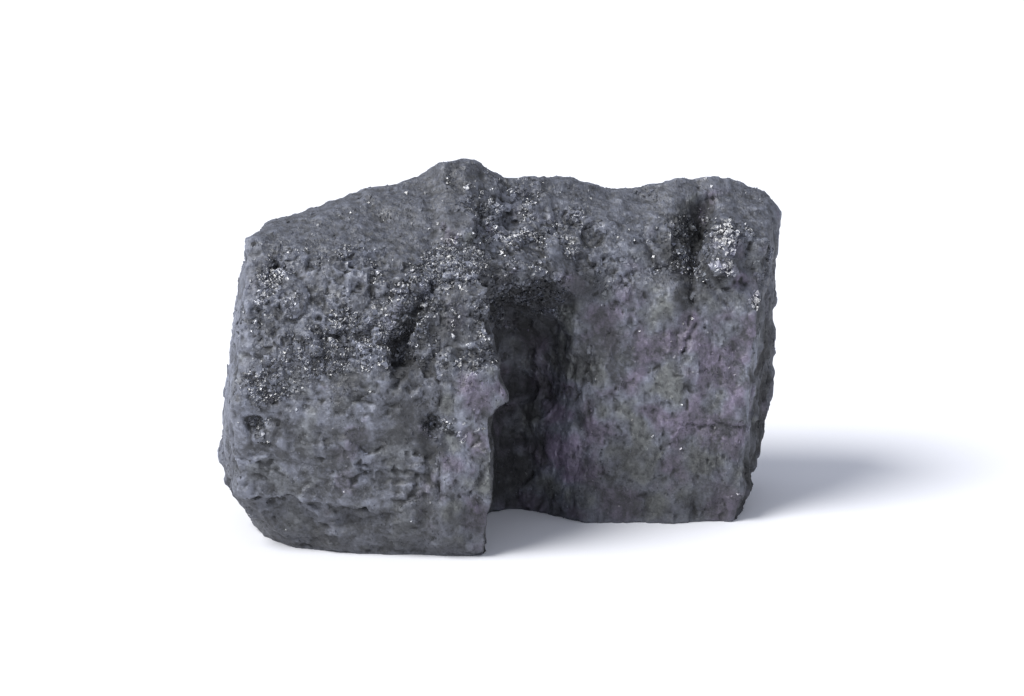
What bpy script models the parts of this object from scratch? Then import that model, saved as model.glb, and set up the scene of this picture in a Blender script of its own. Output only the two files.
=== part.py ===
"""A lump of hardwood charcoal: one solid, standing on its flat broken base.

The lump is a split billet. Its left half stands further forward than its right half, and a dark recess lies
where the two meet, under a brow of the sloping cross-grain break that forms the roof. A blunt knob crowns the
ridge. The wood's fibres run upright, along Z. Metres, +Z up, the broad front towards -Y, the origin under the
middle of the base.
"""

import math

import bmesh
import bpy
from mathutils import Matrix, Vector, noise

MM = 0.001

# Driving dimensions, in millimetres.
RIDGE_Z = 53.0  # height of the roof's ridge over the middle of the lump
KNOB_Z = 57.6  # height of the knob, the highest point
LEFT_X = -44.9  # furthest reach of the left end
RIGHT_X = 45.4  # furthest reach of the right end
LEFT_FRONT_Y = -25.5  # front face of the left half
RIGHT_FRONT_Y = -6.5  # front face of the right half
BACK_Y = 27.0  # back of the lump
STEP_X = -0.5  # where the left half's front face ends, beside the recess
BROW_Y = -12.5  # front edge of the brow over the recess
BROW_Z = 41.6  # underside of the brow
RECESS_Y = 2.5  # back wall of the recess
RECESS_RIGHT_X = 12.0  # where the recess runs out into the right half's front face
BASE_SINK = 1.5  # how far the blocks reach below the base before it is cut flat
CENTRE = (0.4, 0.5, 0.0)  # middle of the finished lump's base, in the blocks' frame

# Relief of the broken surface, in millimetres.
SEED = 8  # fixes the tilts of the chips
VOXEL = 0.9  # grid that welds the blocks into one skin
SWELL_SIZE, SWELL_DEPTH = 15.0, 1.0  # broad swells
CHIP_SIZE, CHIP_DEPTH = 9.5, 1.2  # flat tilted chips
SPALL_SIZE, SPALL_DEPTH = 4.4, 0.6  # smaller chips on the cross-grain break
CRUMB_SIZE, CRUMB_DEPTH = 2.6, 0.3  # crumbs on the cross-grain break
FIBRE_WIDTH, FIBRE_LENGTH, FIBRE_DEPTH = 2.2, 18.0, 0.5  # grooves along the fibres
DENTS = (  # single dents, or bumps where the depth is negative: centre, radius, depth
    ((-10.1, -25.4, 21.6), 2.3, 1.9),  # pit beside the panel's top
    ((-37.2, -23.2, 21.6), 1.9, 1.5),  # pit in the left groove
    ((-1.6, -17.0, 38.6), 2.2, 1.6),  # row of pits along the brow
    ((1.6, -13.4, 39.6), 1.9, 1.6),
    ((7.2, -9.8, 38.4), 2.0, 1.6),
    ((-2.2, -5.4, 51.0), 1.9, 1.7),  # crevice beside the knob
    ((-4.2, -8.6, 49.8), 2.0, -0.9),  # rounded nub before the knob
    ((3.6, 3.0, 20.0), 3.4, 2.2),  # deepest hollow of the recess
    ((10.6, -3.6, 27.0), 3.2, -1.0),  # swelling on the recess's right wall
    ((10.5, -4.0, 21.0), 2.8, 1.3),  # hollow under that swelling
    ((10.0, -4.5, 34.0), 3.0, 1.2),  # hollow over it
    ((20.0, 8.5, 53.5), 11.0, 1.9),  # dip in the ridge
)
CHIP_SEAM = 0.22  # width of the bevel between two chips, as a share of a chip
TRIANGLES = 9600  # triangles that the lump is thinned to
CREASE = 28.0  # degrees between two facets past which their edge stays sharp


def hull(name, corners):
    """A closed faceted block: the convex hull of its corners, given in millimetres."""
    mesh = bpy.data.meshes.new(name)
    bm = bmesh.new()
    for corner in corners:
        bm.verts.new(Vector(corner) * MM)
    made = bmesh.ops.convex_hull(bm, input=bm.verts)
    inside = {item for item in made["geom_interior"] if isinstance(item, bmesh.types.BMVert)}
    bmesh.ops.delete(bm, geom=list(inside), context="VERTS")
    bmesh.ops.recalc_face_normals(bm, faces=bm.faces)
    bm.to_mesh(mesh)
    bm.free()
    block = bpy.data.objects.new(name, mesh)
    tools.objects.link(block)
    block.hide_render = True
    block.display_type = "WIRE"
    return block


def combine(target, block, operation):
    """Adds a block to the target, or cuts it out, with a live Boolean."""
    step = target.modifiers.new(f"{operation.lower()} {block.name}", "BOOLEAN")
    step.operation = operation
    step.object = block


def left_half():
    """The forward half: an upright front face over an undercut foot, leaning back into the roof."""
    y = LEFT_FRONT_Y
    return hull("left_half", [
        # foot, undercut at its left corner
        (-22.0, y + 4.0, -BASE_SINK), (-2.5, y + 3.8, -BASE_SINK), (-31.0, y + 5.5, -BASE_SINK),
        (-37.0, y + 12.5, -BASE_SINK), (-39.5, -1.0, -BASE_SINK), (-38.0, 14.0, -BASE_SINK),
        # ledge above the undercut
        (-40.3, y + 3.0, 9.3), (-25.0, y + 0.3, 9.0), (STEP_X - 1.4, y + 1.2, 2.0),
        # front face
        (-39.8, y + 2.0, 24.5), (STEP_X + 0.5, y + 0.6, 15.0), (STEP_X + 2.8, y + 1.6, 26.0),
        (-19.0, y - 0.3, 27.0), (STEP_X + 1.0, y + 3.6, 33.0), (STEP_X - 1.8, y + 6.2, 39.5),
        # shoulder of the roof
        (-39.3, y + 5.5, 40.2), (-39.2, -14.0, 47.7), (-19.5, -18.5, 42.5), (-3.5, -15.5, 43.5),
        # ridge
        (-36.5, -4.0, 49.0), (-24.0, 1.0, 52.6), (-12.0, 2.0, RIDGE_Z + 2.4), (0.0, 3.0, RIDGE_Z + 1.3),
        # left end, swollen low down
        (LEFT_X, -8.0, 12.0), (LEFT_X + 2.3, -6.0, 27.0), (-41.2, -5.0, 37.0), (LEFT_X + 0.6, 5.0, 16.0),
        (-40.0, 12.0, 38.0), (-39.0, 17.0, 12.0), (-43.2, -9.5, 6.0),
        # back
        (-30.0, BACK_Y - 6.0, 30.0), (-8.0, BACK_Y - 3.0, 38.0), (0.0, 18.0, 0.0),
        (0.0, BACK_Y - 3.0, 20.0), (-22.0, BACK_Y - 6.0, 6.0),
    ])


def right_half():
    """The set-back half: a smooth split front face, a chipped right end and a steeper roof."""
    y = RIGHT_FRONT_Y
    return hull("right_half", [
        # foot
        (RECESS_RIGHT_X, y + 1.0, -BASE_SINK), (36.5, y + 0.8, -BASE_SINK), (39.6, 1.0, -BASE_SINK),
        (37.0, 18.0, -BASE_SINK), (6.0, 20.0, -BASE_SINK), (-8.0, 4.0, -BASE_SINK),
        # front face
        (RECESS_RIGHT_X + 1.0, y + 0.6, 20.0), (38.9, y + 0.9, 6.0), (40.8, y + 2.6, 33.0),
        (RECESS_RIGHT_X + 3.0, y + 1.4, 36.5),
        # roof
        (4.0, -5.0, 42.0), (-6.0, -6.0, 44.0), (42.3, 1.0, 43.0), (-4.0, 4.0, RIDGE_Z + 0.6),
        (3.5, 5.0, RIDGE_Z + 1.2), (10.0, 7.0, 52.4), (17.0, 9.0, 50.2), (24.0, 11.0, 51.4),
        (32.0, 12.0, 52.9), (39.0, 12.0, 52.9), (43.4, 12.0, 51.0),
        # right end
        (RIGHT_X, 12.0, 48.4), (RIGHT_X - 0.6, 10.0, 28.0), (RIGHT_X - 0.6, 10.0, 16.0), (41.6, 8.0, 6.0),
        # back
        (42.0, BACK_Y - 5.0, 42.0), (20.0, BACK_Y - 1.0, 45.0), (0.0, BACK_Y - 2.0, 43.0),
        (41.0, BACK_Y - 5.0, 14.0), (18.0, BACK_Y, 22.0), (-6.0, BACK_Y - 1.0, 20.0),
        (10.0, BACK_Y - 4.0, 4.0),
    ])


def brow():
    """The part of the break that carries the roof on from the left half to the right, over the recess."""
    return hull("brow", [
        (-9.0, -16.5, 44.0), (-9.0, BROW_Y, 39.0), (-1.5, BROW_Y - 1.8, BROW_Z + 1.4),
        (-1.5, BROW_Y - 0.6, BROW_Z - 0.4), (4.5, BROW_Y + 1.0, BROW_Z + 0.6),
        (5.0, BROW_Y + 2.2, BROW_Z - 1.0), (10.5, BROW_Y + 4.4, BROW_Z - 0.8),
        (11.5, BROW_Y + 6.4, BROW_Z - 4.2), (17.0, -5.0, 39.0), (16.5, -4.6, 35.0),
        (-8.0, 2.0, RIDGE_Z - 1.0), (12.0, 6.0, RIDGE_Z - 3.0), (20.0, 4.0, 38.0), (-8.0, 4.0, 38.0),
    ])


def knob():
    """The blunt knob on the ridge and the low spur that runs forward from it."""
    return hull("knob", [
        (-9.2, 1.4, KNOB_Z - 1.2), (-6.0, 2.5, KNOB_Z), (-4.0, 2.5, KNOB_Z - 0.4), (-11.4, 3.0, 55.4),
        (-6.0, 7.5, KNOB_Z - 2.4), (-0.4, 4.5, 54.6), (-14.0, 8.0, 47.0), (2.0, 10.0, 47.0),
        (-9.2, -4.0, 52.6), (-5.2, -5.0, 52.4), (-1.2, -3.0, 51.8), (-8.0, -11.0, 48.6), (-5.0, -11.4, 48.2),
        (-11.6, -9.0, 44.0), (-1.0, -9.0, 42.0),
    ])


def panel():
    """The flat split panel that stands a little proud on the left half, beside the recess."""
    y = LEFT_FRONT_Y
    return hull("panel", [
        (-9.8, y - 0.7, 17.6), (-0.9, y + 0.1, 17.0), (-9.4, y - 0.2, 4.0), (-1.0, y + 0.6, 7.0),
        (-9.0, y + 2.8, 0.2), (-2.4, y + 3.0, 0.2), (-10.8, y + 4.0, 19.0), (-0.4, y + 4.0, 18.6),
        (-10.4, y + 5.0, 1.0), (-1.6, y + 5.0, 1.0),
    ])


def mass():
    """The blunt crumbling mass between the crack and the recess."""
    return hull("mass", [
        (-11.0, -25.6, 27.5), (-4.0, -25.7, 27.0), (-8.5, -24.2, 32.6), (-2.5, -22.8, 34.0),
        (1.8, -24.0, 25.5), (-6.0, -25.0, 20.0), (-11.6, -21.0, 24.0), (1.4, -18.0, 24.0),
        (-10.0, -18.0, 36.0), (-1.0, -18.0, 36.0),
    ])


def shining_block():
    """The blocky tooth at the right of the gully."""
    return hull("shining_block", [
        (33.4, -4.2, 40.8), (37.6, -4.4, 40.6), (38.8, -1.2, 43.4), (33.8, -0.6, 45.0), (34.6, 4.2, 48.6),
        (39.2, 4.4, 47.2), (33.6, 2.0, 38.0), (40.0, 2.0, 38.0), (34.6, 8.0, 46.0), (40.0, 8.0, 46.0),
    ])


def recess():
    """Cutter for the dark recess under the brow: deepest behind the left half, easing out to the right."""
    y = RECESS_Y
    right = RECESS_RIGHT_X
    return hull("recess", [
        # at the ground
        (STEP_X - 0.4, -40.0, -8.0), (STEP_X - 2.6, -10.0, -8.0), (1.5, y - 2.5, -8.0), (6.5, y - 4.1, -8.0),
        (right - 2.6, y - 7.1, -8.0), (right + 1.0, y - 11.0, -8.0), (right + 24.0, -40.0, -8.0),
        # halfway up
        (STEP_X + 4.0, -40.0, 26.0), (STEP_X - 1.8, -6.0, 20.0), (STEP_X, y + 2.0, 18.0),
        (4.5, y + 2.0, 22.0), (8.0, y - 0.7, 22.0), (right - 1.6, y - 4.5, 21.0),
        (right + 2.0, y - 10.2, 20.0), (right + 22.0, -40.0, 26.0),
        # under the brow
        (STEP_X + 3.4, -22.0, 33.0), (STEP_X - 1.6, -12.0, 39.5), (STEP_X + 1.0, y - 2.0, 35.0),
        (9.0, y - 4.1, 33.0), (right - 0.4, y - 6.7, 33.0), (right + 2.4, y - 10.1, 33.0),
        (6.0, -9.0, 40.6), (10.8, -7.4, 38.6), (12.0, -40.0, 48.0),
    ])


def rim():
    """Cutter that takes the corner off between the recess and the right half's front face."""
    return hull("rim", [
        (8.6, -3.2, -8.0), (14.6, -5.8, -8.0), (6.0, -14.0, -8.0), (14.6, -14.0, -8.0),
        (11.3, -3.5, 20.0), (16.8, -6.3, 20.0), (9.0, -14.0, 20.0), (16.8, -14.0, 20.0),
        (11.4, -4.2, 34.0), (16.6, -5.9, 34.0), (9.5, -14.0, 34.0), (16.6, -14.0, 34.0),
    ])


def hollow():
    """Cutter for the crumbled hollow high on the left half's right corner, where the recess opens upwards."""
    return hull("hollow", [
        (-3.6, -34.0, 41.0), (1.5, -34.0, 42.0), (-3.0, -34.0, 35.4), (3.0, -34.0, 33.0), (-2.4, -13.4, 40.0),
        (3.0, -12.0, 40.4), (-1.6, -14.0, 35.0), (3.0, -12.0, 32.0),
    ])


def gully():
    """Cutter for the ragged gully in the right half's roof: sloping at its left, steep at its right."""
    return hull("gully", [
        (33.0, 8.0, 43.6), (31.4, 1.0, 37.0), (30.4, -3.4, 33.8),
        (30.5, 10.0, 57.0), (26.6, 1.0, 48.0), (27.0, -10.0, 41.0),
        (36.4, 9.0, 57.0), (34.8, -0.5, 50.0), (33.0, -10.0, 42.0),
    ])


def gully_tail():
    """Cutter for the crack that runs on below the gully."""
    return hull("gully_tail", [
        (28.6, -12.0, 39.0), (32.6, -12.0, 39.0), (29.6, -12.0, 32.6), (30.6, -12.0, 32.6),
        (29.8, -2.2, 38.4), (31.0, -2.2, 38.4), (30.2, -4.2, 34.0),
    ])


def slot():
    """Cutter for the upright hollow in the left half's front, deepest at its left."""
    return hull("slot", [
        (-17.2, -28.0, 28.0), (-11.8, -28.0, 29.0), (-17.4, -28.0, 35.4), (-11.6, -28.0, 36.0),
        (-16.8, -20.4, 29.2), (-12.8, -21.4, 29.8), (-17.0, -18.6, 35.0), (-12.4, -20.0, 35.4),
    ])


def slot_shoulder():
    """Cutter for the crack that climbs to the right from the hollow, under the roof's shoulder."""
    return hull("slot_shoulder", [
        (-15.6, -27.0, 34.4), (-12.8, -27.0, 34.4), (-12.0, -25.0, 42.0), (-9.6, -25.0, 40.8),
        (-15.2, -19.0, 35.2), (-13.6, -19.0, 35.2), (-11.6, -16.8, 40.6), (-10.6, -16.8, 40.2),
    ])


def undercut():
    """Cutter that deepens the shadow line under the left half's ledge."""
    return hull("undercut", [
        (-38.0, -34.0, 7.4), (-38.5, -34.0, 8.8), (-26.0, -34.0, 7.4), (-26.0, -34.0, 8.8),
        (-37.5, -20.8, 8.2), (-26.5, -23.6, 8.2),
    ])


def groove():
    """Cutter for the upright groove that parts a narrow strip from the left half's front."""
    return hull("groove", [
        (-38.5, -34.0, 10.0), (-36.7, -34.0, 10.0), (-38.9, -34.0, 34.0), (-37.2, -34.0, 34.0),
        (-38.9, -34.0, 21.0), (-36.0, -34.0, 21.0), (-37.7, -22.2, 12.0), (-37.8, -21.8, 21.0),
        (-38.1, -21.6, 30.0),
    ])


def floor_cut():
    """Cutter that takes the base off flat at the ground."""
    sides = (-80.0, 80.0)
    return hull("floor_cut", [(x, y, z) for x in sides for y in sides for z in (-20.0, 0.0)])


def smooth_step(value):
    """0 below 0, 1 above 1, and a smooth ramp between."""
    value = min(1.0, max(0.0, value))
    return value * value * (3.0 - 2.0 * value)


def chip_height(point, size):
    """Height of a field of flat tilted chips: each Voronoi cell is a plane, bevelled into its neighbour."""
    spot = point / size
    distances, seeds = noise.voronoi(spot)

    def plane(seed):
        slope = noise.noise_vector(seed * 7.31)
        return slope.dot(spot - seed) + 0.5 * noise.noise(seed * 3.17)

    share = 0.5 + 0.5 * smooth_step((distances[1] - distances[0]) / CHIP_SEAM)
    return share * plane(seeds[0]) + (1.0 - share) * plane(seeds[1])


def dents(point):
    """Depth that the single dents take from a point: each a smooth bowl."""
    depth = 0.0
    for centre, radius, deep in DENTS:
        depth += deep * smooth_step(1.0 - (point - Vector(centre)).length / radius)
    return depth


def relief(point, normal):
    """Height that the break adds at a point, in mm: chips and crumbs across the grain, grooves along it."""
    along = 1.0 - smooth_step(abs(normal.z) * 1.6)
    across = 1.0 - 0.8 * along
    fibre = Vector((point.x / FIBRE_WIDTH, point.y / FIBRE_WIDTH, point.z / FIBRE_LENGTH))
    return (
        SWELL_DEPTH * noise.fractal(point / SWELL_SIZE, 1.0, 2.0, 2)
        + CHIP_DEPTH * chip_height(point, CHIP_SIZE)
        + SPALL_DEPTH * chip_height(point, SPALL_SIZE) * across
        + CRUMB_DEPTH * noise.noise(point / CRUMB_SIZE) * across
        - FIBRE_DEPTH * abs(noise.noise(fibre)) * along
        - dents(point)
    )


def roughen(mesh):
    """Moves each vertex along its normal by the relief."""
    moved = [
        vertex.co + vertex.normal * relief(vertex.co / MM, vertex.normal) * MM for vertex in mesh.vertices
    ]
    for vertex, place in zip(mesh.vertices, moved):
        vertex.co = place
    mesh.update()


def charcoal():
    """Matt blue-black char."""
    material = bpy.data.materials.new("charcoal")
    material.use_nodes = True
    shader = material.node_tree.nodes["Principled BSDF"]
    shader.inputs["Base Color"].default_value = (0.045, 0.047, 0.058, 1.0)
    shader.inputs["Roughness"].default_value = 0.62
    shader.inputs["Metallic"].default_value = 0.0
    return material


def evaluated_mesh(obj):
    """The object's mesh with its modifiers applied."""
    graph = bpy.context.evaluated_depsgraph_get()
    return bpy.data.meshes.new_from_object(obj.evaluated_get(graph))


def main():
    noise.seed_set(SEED)
    rough = left_half()
    for block in (right_half(), brow()):
        combine(rough, block, "UNION")
    for cutter in (recess(), rim(), hollow(), gully(), gully_tail()):
        combine(rough, cutter, "DIFFERENCE")
    for block in (knob(), panel(), mass(), shining_block()):
        combine(rough, block, "UNION")
    for cutter in (slot(), slot_shoulder(), undercut(), groove()):
        combine(rough, cutter, "DIFFERENCE")
    weld = rough.modifiers.new("one skin", "REMESH")
    weld.mode = "VOXEL"
    weld.voxel_size = VOXEL * MM

    mesh = evaluated_mesh(rough)
    mesh.name = "charcoal_lump"
    roughen(mesh)
    mesh.transform(Matrix.Translation(-Vector(CENTRE) * MM))
    mesh.materials.append(charcoal())
    lump = bpy.data.objects.new("charcoal_lump", mesh)
    part.objects.link(lump)

    mesh.calc_loop_triangles()
    thin = lump.modifiers.new("facets", "DECIMATE")
    thin.ratio = TRIANGLES / len(mesh.loop_triangles)
    combine(lump, floor_cut(), "DIFFERENCE")
    mesh.shade_smooth()
    mesh.set_sharp_from_angle(angle=math.radians(CREASE))


for old in list(bpy.data.objects):
    bpy.data.objects.remove(old)
part = bpy.data.collections.new("lump charcoal")
tools = bpy.data.collections.new("cutters")
for collection in (part, tools):
    bpy.context.scene.collection.children.link(collection)
main()
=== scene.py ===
"""A lump of hardwood charcoal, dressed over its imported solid.

The solid gives the lump's form. Here it gets the surface of wood char: a crumbling break across the grain
high on the front, snapped and split faces below and behind it, a calmer roof, and loose crumbs, lumps, glassy
chips and slivers of fibre. Lengths are in millimetres, and are turned to metres as a mesh is made.

A pattern's call gives the points and the pattern's width in millimetres. Its last number, the salt, only
picks one of many unrelated patterns.
"""

import logging
import math
from dataclasses import dataclass, field
from enum import Enum
from typing import ClassVar

import bmesh
import bpy
import numpy as np
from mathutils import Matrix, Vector


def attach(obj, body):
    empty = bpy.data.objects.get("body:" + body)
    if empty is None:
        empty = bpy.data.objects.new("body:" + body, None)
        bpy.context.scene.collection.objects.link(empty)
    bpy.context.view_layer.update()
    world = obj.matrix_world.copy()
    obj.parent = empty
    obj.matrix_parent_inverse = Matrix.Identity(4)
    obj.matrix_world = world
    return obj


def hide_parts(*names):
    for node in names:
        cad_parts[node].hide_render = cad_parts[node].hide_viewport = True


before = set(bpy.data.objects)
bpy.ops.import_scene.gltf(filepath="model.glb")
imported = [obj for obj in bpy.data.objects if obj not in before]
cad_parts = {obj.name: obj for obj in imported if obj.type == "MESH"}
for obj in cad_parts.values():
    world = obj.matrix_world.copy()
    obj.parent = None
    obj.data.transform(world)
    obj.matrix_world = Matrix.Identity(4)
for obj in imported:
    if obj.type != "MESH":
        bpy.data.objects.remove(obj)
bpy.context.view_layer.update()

MM = 0.001
NODE = "charcoal_lump"
FULL_TURN = 2.0 * math.pi

Array = np.ndarray
Looks = dict[str, np.ndarray]  # what the finish reads, by attribute: one number per vertex
Link = bpy.types.NodeSocket
Triple = tuple[float, float, float]
Size = float | Triple
Colour = tuple[float, float, float, float]
Links = dict[str | int, Link | float | tuple]

GLINT: Triple = (-0.34, -0.75, 0.57)  # a face turned this way throws the key light forwards
log = logging.getLogger("charcoal")


# ------------------------------------------------------------------------------- patterns in numpy


def hashed(cell: Array, salt: int) -> Array:
    """A repeatable random number for each cell: its three whole numbers are multiplied, mixed and shifted.

    The factors are large odd numbers, which spread every bit of the cell's numbers over the result.

    Args:
        cell: Whole-number coordinates, one row of three per point.
        salt: Picks one of many unrelated sets of numbers.

    Returns:
        One number from 0 to 1 per row.
    """
    whole = cell.astype(np.int64).astype(np.uint32)
    mixed = whole[:, 0] * np.uint32(0x8DA6B343) ^ whole[:, 1] * np.uint32(0xD8163841)
    mixed ^= whole[:, 2] * np.uint32(0xCB1AB31F) ^ np.uint32((salt * 0x9E3779B1) & 0xFFFFFFFF)
    for shift, factor in ((15, 0x2C1B3C6D), (12, 0x297A2D39)):
        mixed ^= mixed >> np.uint32(shift)
        mixed *= np.uint32(factor)
    mixed ^= mixed >> np.uint32(15)
    return mixed.astype(np.float64) / 2.0**32


def eased(value: Array, low: float = 0.0, high: float = 1.0) -> Array:
    """A smooth ramp, 3t^2 - 2t^3, from 0 at low to 1 at high.

    Args:
        value: Numbers to ramp.
        low: Where the ramp starts.
        high: Where it ends; below low, the ramp falls.

    Returns:
        Numbers from 0 to 1.
    """
    share = np.clip((value - low) / (high - low), 0.0, 1.0)
    return share * share * (3.0 - 2.0 * share)


def noise(points: Array, size: Size, salt: int = 0) -> Array:
    """Gradient noise: each corner of a cell holds a random slope, and the eight slopes are eased together.

    Args:
        points: Places, one row each.
        size: Width of a cell, or one width per axis.
        salt: Picks the pattern.

    Returns:
        One number per point, about -1 to 1.
    """
    spot = points / np.asarray(size, float)
    cell = np.floor(spot)
    part = spot - cell
    ease = part**3 * (part * (part * 6.0 - 15.0) + 10.0)
    total = np.zeros(len(points))
    for corner in np.ndindex(2, 2, 2):
        angle = FULL_TURN * hashed(cell + corner, salt)
        rise = 2.0 * hashed(cell + corner, salt + 977) - 1.0
        flat = np.sqrt(1.0 - rise * rise)
        away = part - corner
        slope = flat * np.cos(angle) * away[:, 0] + flat * np.sin(angle) * away[:, 1] + rise * away[:, 2]
        total += slope * np.prod(np.where(corner, ease, 1.0 - ease), axis=1)
    return 1.7 * total


def layered(points: Array, size: Size, layers: int, salt: int = 0) -> Array:
    """Several layers of noise, each half as wide and half as strong as the one before.

    Args:
        points: Places, one row each.
        size: Width of the widest layer's cells.
        layers: How many layers.
        salt: Picks the pattern.

    Returns:
        One number per point, about -1 to 1.
    """
    widths = np.asarray(size, float)
    total = sum(0.5**n * noise(points, widths * 0.5**n, salt + 31 * n) for n in range(layers))
    return total / (2.0 - 0.5 ** (layers - 1))


@dataclass(frozen=True)
class Cells:
    """What each point finds in a pattern of scattered seeds, in cell widths."""

    near: Array
    second: Array
    label: Array
    tilt: Array

    @property
    def seam(self) -> Array:
        """1 on the seam between two cells, 0 a little inside either."""
        return 1.0 - eased(self.second - self.near, 0.0, 0.22)

    @property
    def dome(self) -> Array:
        """A rounded top over each seed: 1 less the squared distance, held at 0."""
        return np.maximum(0.0, 1.0 - (self.near / 0.8) ** 2)

    def bowl(self, share: float) -> Array:
        """A round bowl over some of the seeds, 1 deep.

        Args:
            share: Share of the seeds that get one.

        Returns:
            One depth per point.
        """
        return np.where(self.label > 1.0 - share, 1.0 - eased(self.near, 0.1, 0.55), 0.0)


def scattered(points: Array, size: Size, salt: int = 0) -> Cells:
    """Finds the nearest of the seeds that are scattered one to a cell, and the height of its tilted plane.

    Each plane passes near its seed with a random slope, so a field of them looks like broken facets. Near a
    seam the two nearest planes are eased together, so that the step between them has a bevel.

    Args:
        points: Places, one row each.
        size: Width of a cell, or one width per axis.
        salt: Picks the pattern.

    Returns:
        The distances to the two nearest seeds, the nearest one's random number, and the planes' height.
    """
    spot = points / np.asarray(size, float)
    cell = np.floor(spot)
    too_far = 9.0
    near, second = np.full(len(points), too_far), np.full(len(points), too_far)
    best, runner = np.zeros_like(cell), np.zeros_like(cell)
    away_best, away_runner = np.zeros_like(cell), np.zeros_like(cell)
    for step in np.ndindex(3, 3, 3):
        other = cell + (np.array(step) - 1)
        seed = other + 0.1 + 0.8 * np.stack([hashed(other, salt + n) for n in range(3)], axis=1)
        away = spot - seed
        distance = np.sqrt(np.einsum("ij,ij->i", away, away))
        first = distance < near
        next_best = ~first & (distance < second)
        runner[first], away_runner[first], second[first] = best[first], away_best[first], near[first]
        best[first], away_best[first], near[first] = other[first], away[first], distance[first]
        runner[next_best], away_runner[next_best] = other[next_best], away[next_best]
        second[next_best] = distance[next_best]

    def plane(owner: Array, offset: Array) -> Array:
        """A seed's own plane: a random slope times the way from the seed, plus a random rise.

        Args:
            owner: The cell that the seed is in, one row per point.
            offset: The way from the seed to the point, one row each.

        Returns:
            One height per point.
        """
        slope = np.stack([2.0 * hashed(owner, salt + 11 + n) - 1.0 for n in range(3)], axis=1)
        return np.einsum("ij,ij->i", slope, offset) + 1.2 * (hashed(owner, salt + 17) - 0.5)

    share = 0.5 + 0.5 * eased(second - near, 0.0, 0.12)
    tilt = share * plane(best, away_best) + (1.0 - share) * plane(runner, away_runner)
    return Cells(near, second, hashed(best, salt + 17), tilt)


def path_offset(flat: Array, path: Array) -> tuple[Array, Array]:
    """Distance from each point to a path of straight runs in a plane, and which side of it the point is on.

    Args:
        flat: Points, one row of two each.
        path: The path's corners, one row of two each.

    Returns:
        The distances, and 1 where the point is to the right of the nearest run and -1 to the left.
    """
    best, side = np.full(len(flat), 1e9), np.ones(len(flat))
    for start, end in zip(path[:-1], path[1:]):
        run, away = end - start, flat - start
        share = np.clip(away @ run / (run @ run), 0.0, 1.0)
        distance = np.linalg.norm(away - share[:, None] * run, axis=1)
        closer = distance < best
        best[closer] = distance[closer]
        side[closer] = np.where(run[0] * away[closer, 1] - run[1] * away[closer, 0] < 0.0, 1.0, -1.0)
    return best, side


# ------------------------------------------------------------------------------------------ meshes


def vertex_table(mesh: bpy.types.Mesh, name: str = "co") -> Array:
    """Reads a vertex property of three numbers as an array.

    Args:
        mesh: The mesh.
        name: "co" for the place, or "normal".

    Returns:
        One row of three per vertex.
    """
    values = np.empty(len(mesh.vertices) * 3, np.float32)
    mesh.vertices.foreach_get(name, values)
    return values.reshape(-1, 3).astype(np.float64)


def new_mesh(name: str, points: Array, faces: Array, chart: Array | None = None) -> bpy.types.Mesh:
    """Makes a mesh from whole arrays.

    Args:
        name: The mesh's name.
        points: Places in mm, one row each.
        faces: Corner numbers, one row of three or four per face.
        chart: Where each face corner lies in the map that a bake uses, one row of two each.

    Returns:
        The mesh, in metres.
    """
    sides = faces.shape[1]
    mesh = bpy.data.meshes.new(name)
    mesh.vertices.add(len(points))
    mesh.vertices.foreach_set("co", (points * MM).astype(np.float32).ravel())
    mesh.loops.add(faces.size)
    mesh.loops.foreach_set("vertex_index", faces.astype(np.int32).ravel())
    mesh.polygons.add(len(faces))
    mesh.polygons.foreach_set("loop_start", np.arange(0, faces.size, sides, dtype=np.int32))
    mesh.update(calc_edges=True)
    if chart is not None:
        mesh.uv_layers.new(name="OFBake").data.foreach_set("uv", chart.astype(np.float32).ravel())
    mesh.validate()
    return mesh


def paint(mesh: bpy.types.Mesh, name: str, values: Array) -> None:
    """Stores one number per vertex, for a material to read.

    Args:
        mesh: The mesh.
        name: The attribute's name.
        values: One number per vertex.
    """
    layer = mesh.attributes.new(name, "FLOAT", "POINT")
    layer.data.foreach_set("value", values.astype(np.float32))


def new_piece(name: str, mesh: bpy.types.Mesh, materials: list[bpy.types.Material]) -> bpy.types.Object:
    """Makes a piece of the lump: linked, dressed, riding on the lump's body.

    Args:
        name: The piece's name.
        mesh: Its mesh, in place.
        materials: Its finishes.

    Returns:
        The object.
    """
    piece = bpy.data.objects.new(name, mesh)
    bpy.context.scene.collection.objects.link(piece)
    for material in materials:
        mesh.materials.append(material)
    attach(piece, "root")
    return piece


def with_modifier(mesh: bpy.types.Mesh, kind: str, **settings: float | str) -> bpy.types.Mesh:
    """Applies one modifier to a mesh.

    Args:
        mesh: The mesh.
        kind: The modifier's type.
        **settings: The modifier's own properties.

    Returns:
        A new mesh.
    """
    helper = bpy.data.objects.new("helper", mesh)
    bpy.context.scene.collection.objects.link(helper)
    modifier = helper.modifiers.new(kind.lower(), kind)
    for key, value in settings.items():
        setattr(modifier, key, value)
    graph = bpy.context.evaluated_depsgraph_get()
    made = bpy.data.meshes.new_from_object(helper.evaluated_get(graph))
    bpy.data.objects.remove(helper)
    return made


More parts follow.
